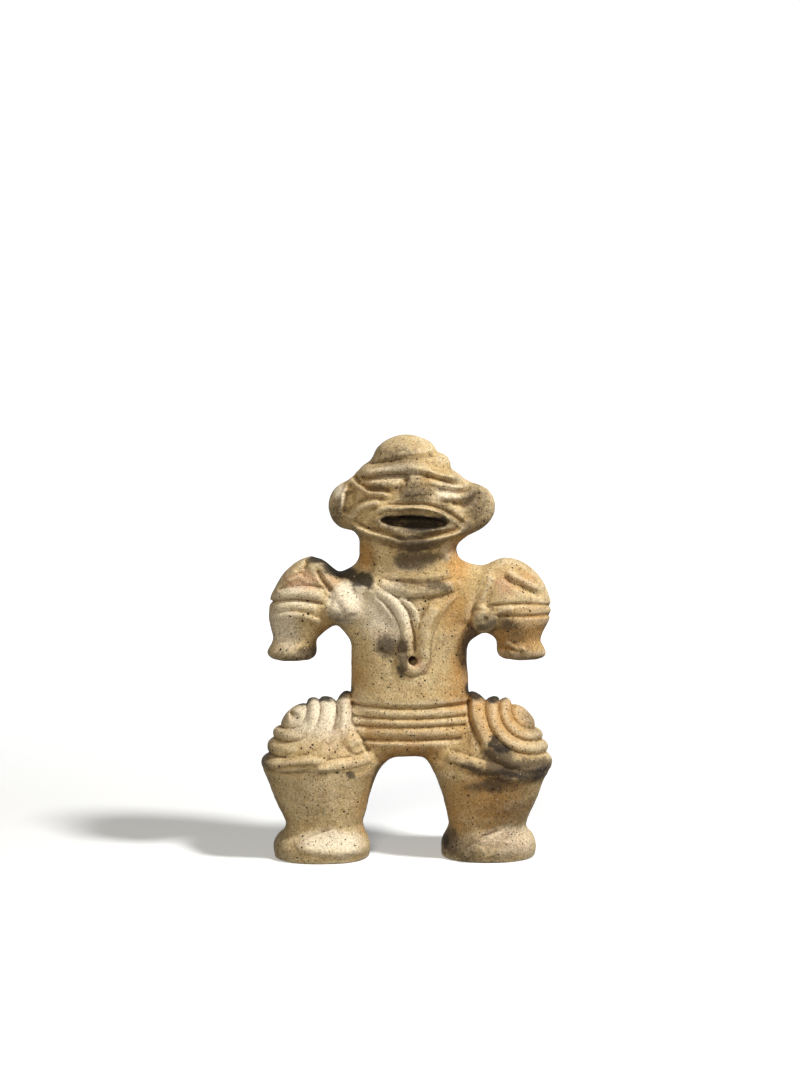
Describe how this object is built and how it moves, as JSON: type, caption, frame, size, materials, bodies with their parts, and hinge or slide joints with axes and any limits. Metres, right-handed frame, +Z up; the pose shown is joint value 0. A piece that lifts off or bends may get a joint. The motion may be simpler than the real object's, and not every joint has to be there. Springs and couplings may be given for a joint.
{
  "type": "dogu figurine",
  "caption": "Stylised standing clay figure with a wide head, open mouth, short bent-down arms, belted waist and massive ringed thighs, hand-worked and low-fired.",
  "frame": {"origin": "middle of the figure's outline, on the surface that the feet stand on", "axes": "+Z up through the head, -Y out of the face and chest, +X to the viewer's right"},
  "size_m": [0.1172, 0.041, 0.1697],
  "materials": {
    "fired_clay": "matt unglazed low-fired clay, buff with ochre stains, grey fire clouds and dark grit"
  },
  "bodies": {
    "root": {"dogu_figurine": "fired_clay"}
  },
  "joints": []
}
